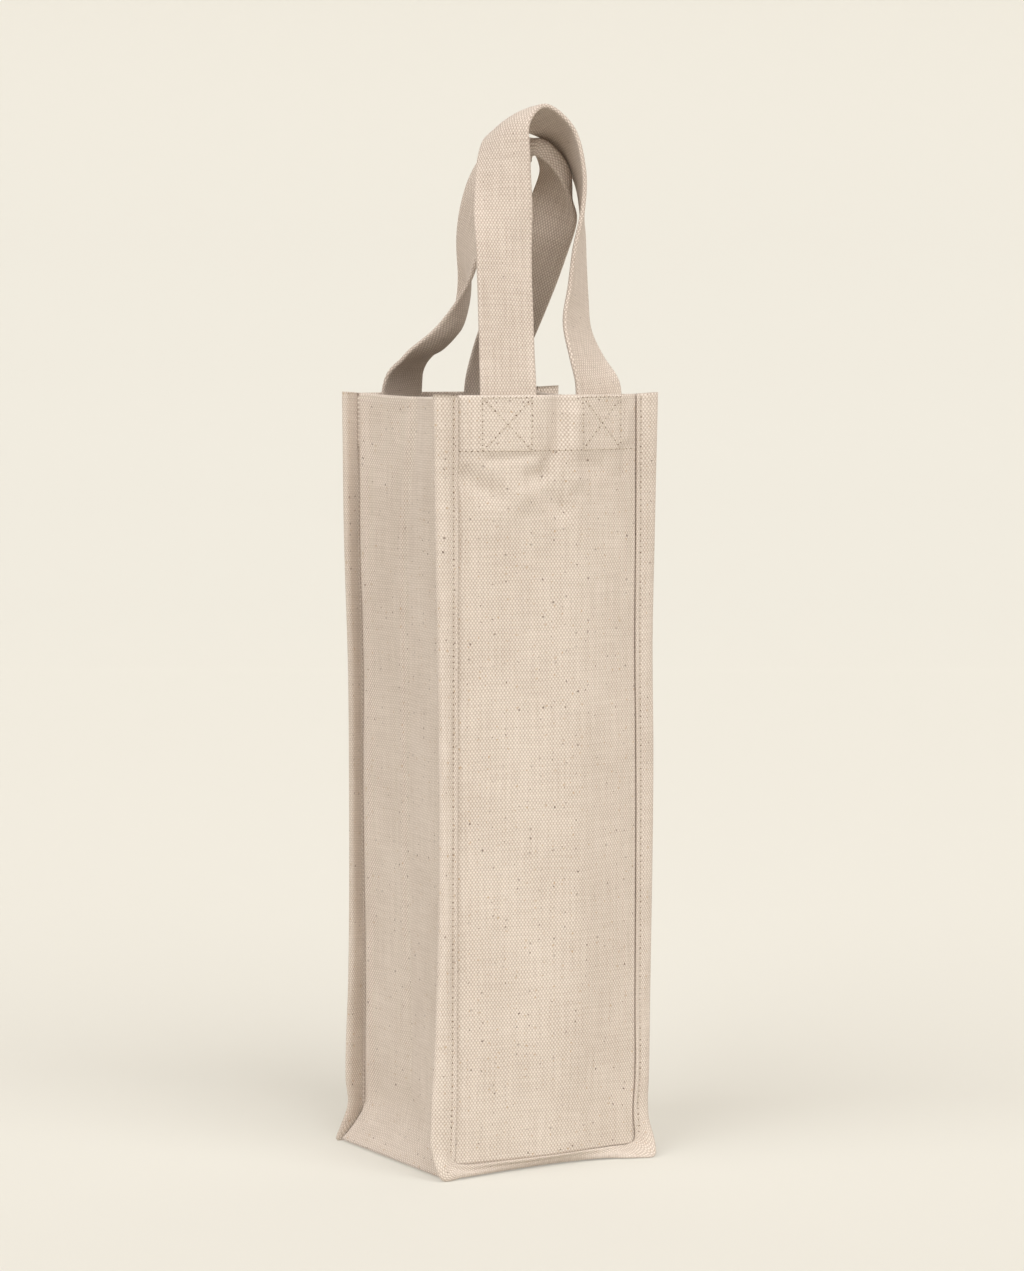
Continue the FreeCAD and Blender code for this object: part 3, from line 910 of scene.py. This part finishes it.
def make_stage():
    """Pale floor that sweeps up behind the carrier."""
    turn = np.linspace(0, math.pi / 2, 40)
    profile = [(-FLOOR_AHEAD, 0), (FLOOR_BEHIND, 0)]
    for a in turn[1:]:
        profile.append((FLOOR_BEHIND + SWEEP_RADIUS * math.sin(a), SWEEP_RADIUS - SWEEP_RADIUS * math.cos(a)))
    profile.append((FLOOR_BEHIND + SWEEP_RADIUS, SWEEP_HEIGHT))
    profile = np.array(profile, float)
    run = lengths_along(profile) - FLOOR_AHEAD
    sides = np.linspace(-SWEEP_HALF_WIDTH, SWEEP_HALF_WIDTH, 3)
    rows = np.array([[(x, y, z) for x in sides] for y, z in profile])
    flat = np.array([[(x, along) for x in sides] for along in run])
    angle = math.radians(CAMERA_AZIMUTH)
    to_right = [math.cos(angle), math.sin(angle), 0]
    to_back = [-math.sin(angle), math.cos(angle), 0]
    swing = np.array([to_right, to_back, [0, 0, 1]])
    piece = Piece()
    piece.patch(rows @ swing, flat)
    paper = graded_paper("sweep_paper")
    piece.build("studio_sweep", paper)


def make_backdrop():
    """Pale wall that closes the view from every side, and neither lights nor shades the part."""
    turn = np.linspace(0, 2 * math.pi, 97)
    circle = np.stack([np.cos(turn), np.sin(turn), 0 * turn], axis=-1) * WALL_RADIUS
    rows = np.stack([circle + np.array([0, 0, height]) for height in (WALL_FOOT, WALL_HEIGHT)])
    piece = Piece()
    piece.patch(rows, np.zeros(rows.shape[:2] + (2,)))
    wall = piece.build("studio_wall", plain("wall_paint", (0, 0, 0), 1.0))
    surface = wall.data.materials[0].node_tree.nodes["Principled BSDF"]
    surface.inputs["Emission Color"].default_value = (*WALL_COLOUR, 1)
    surface.inputs["Emission Strength"].default_value = 1.0
    wall.visible_diffuse = False
    wall.visible_glossy = False
    wall.visible_shadow = False


def add_light(name, azimuth, elevation, softness, strength, colour):
    """A wide, far studio light, as a sun of some angle."""
    data = bpy.data.lights.new(name, "SUN")
    data.angle = math.radians(softness)
    data.energy = strength
    data.color = colour
    lamp = bpy.data.objects.new(name, data)
    bpy.context.scene.collection.objects.link(lamp)
    lamp.location = (0, 0, 2)
    lamp.rotation_euler = (math.radians(90 - elevation), 0, math.radians(azimuth))


def make_camera():
    """The photograph's camera, level in roll and looking a little down."""
    data = bpy.data.cameras.new("camera")
    data.sensor_width = SENSOR
    data.lens = FOCAL_PIXELS * SENSOR / IMAGE_HEIGHT
    data.clip_end = 50
    camera = bpy.data.objects.new("camera", data)
    bpy.context.scene.collection.objects.link(camera)
    turn = math.radians(CAMERA_AZIMUTH)
    x = math.sin(turn) * CAMERA_DISTANCE + math.cos(turn) * CAMERA_ASIDE
    y = -math.cos(turn) * CAMERA_DISTANCE + math.sin(turn) * CAMERA_ASIDE
    camera.location = (x * MM, y * MM, CAMERA_HEIGHT * MM)
    pitch = math.atan2(CAMERA_HEIGHT - AIM_HEIGHT, CAMERA_DISTANCE)
    camera.rotation_euler = (math.pi / 2 - pitch, 0, turn)
    bpy.context.scene.camera = camera


canvas = woven(
    "canvas", pitch=(0.74, 1.04), light=(0.79, 0.705, 0.625), dark=(0.36, 0.28, 0.218),
    relief=0.3, flecks=[(5.6, 0.62, 0.6, BARK), (4.4, 0.7, 0.35, STRAW)],
)
webbing = woven(
    "webbing", pitch=(0.66, 1.04), light=(0.785, 0.69, 0.605), dark=(0.325, 0.248, 0.193),
    relief=0.4, flecks=[(7.0, 0.5, 0.4, BARK)],
)
thread = spun_thread("thread", light=(0.62, 0.54, 0.455), dark=(0.46, 0.38, 0.30))
# Colour of the discs at the needle holes: painted shade
painted_hole_shade = plain("painted_hole_shade", (0.16, 0.11, 0.075), roughness=0.95)
chance = np.random.default_rng(7)

front = Panel(FRONT_LEFT, FRONT_RIGHT, FRONT_BOTTOM, FRONT_FOLDS, FRONT_RIDGE)
back = Panel(BACK_LEFT, BACK_RIGHT, BACK_BOTTOM, BACK_FOLDS, BACK_RIDGE)
seams = (Seam(front, FRONT_BOTTOM), Seam(back, BACK_BOTTOM))

front_cloth = make_panel("front_panel_cloth", front, as_it_is, canvas)
back_cloth = make_panel("back_panel_cloth", back, turned_round, canvas)
gusset_cloth = make_gusset(front, back, seams, canvas)
front_strap = make_strap("front_strap", FRONT_STRAP, webbing)
back_strap = make_strap("back_strap", BACK_STRAP, webbing, slack=BACK_SLACK)

cloths = (
    (front_cloth, "front_panel"),
    (back_cloth, "back_panel"),
    (gusset_cloth, "gusset_strip"),
)
for piece, node in cloths:
    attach(piece, "bag")
    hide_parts(node)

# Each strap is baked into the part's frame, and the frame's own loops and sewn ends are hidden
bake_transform(front_strap)
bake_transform(back_strap)
for side, strap in (("front", front_strap), ("back", back_strap)):
    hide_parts(side + "_handle_loop", side + "_handle_sewn_ends")

threads = (thread, painted_hole_shade)
faces = (
    ("front", front, seams[0], as_it_is),
    ("back", back, seams[1], turned_round),
)
for side, panel, seam, place in faces:
    stitching = [
        (seam_stitches(side + "_seam_stitches", seam, place, threads, chance), side + "_seam_thread"),
        (hem_stitches(side + "_hem_stitches", panel, place, threads, chance), side + "_hem_thread"),
    ]
    for hand, x in (("left", -FOOT_SPACING / 2), ("right", FOOT_SPACING / 2)):
        name = side + "_" + hand + "_box"
        box = box_stitches(name + "_stitches", panel, place, x, threads, chance)
        stitching.append((box, name + "_thread"))
    for piece, node in stitching:
        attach(piece, "bag")
        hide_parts(node)

make_stage()
make_backdrop()
make_camera()
add_light(
    "front_light", azimuth=5, elevation=40, softness=50, strength=2.46, colour=(0.985, 1.01, 1.02),
)
add_light(
    "side_light", azimuth=-77, elevation=40, softness=50, strength=1.93, colour=(0.97, 1.01, 1.04),
)
world = bpy.data.worlds.new("studio")
bpy.context.scene.world = world
world.use_nodes = True
background = world.node_tree.nodes["Background"]
background.inputs[0].default_value = (*WORLD_COLOUR, 1)
background.inputs[1].default_value = WORLD_STRENGTH
bpy.context.scene.view_settings.view_transform = "Standard"
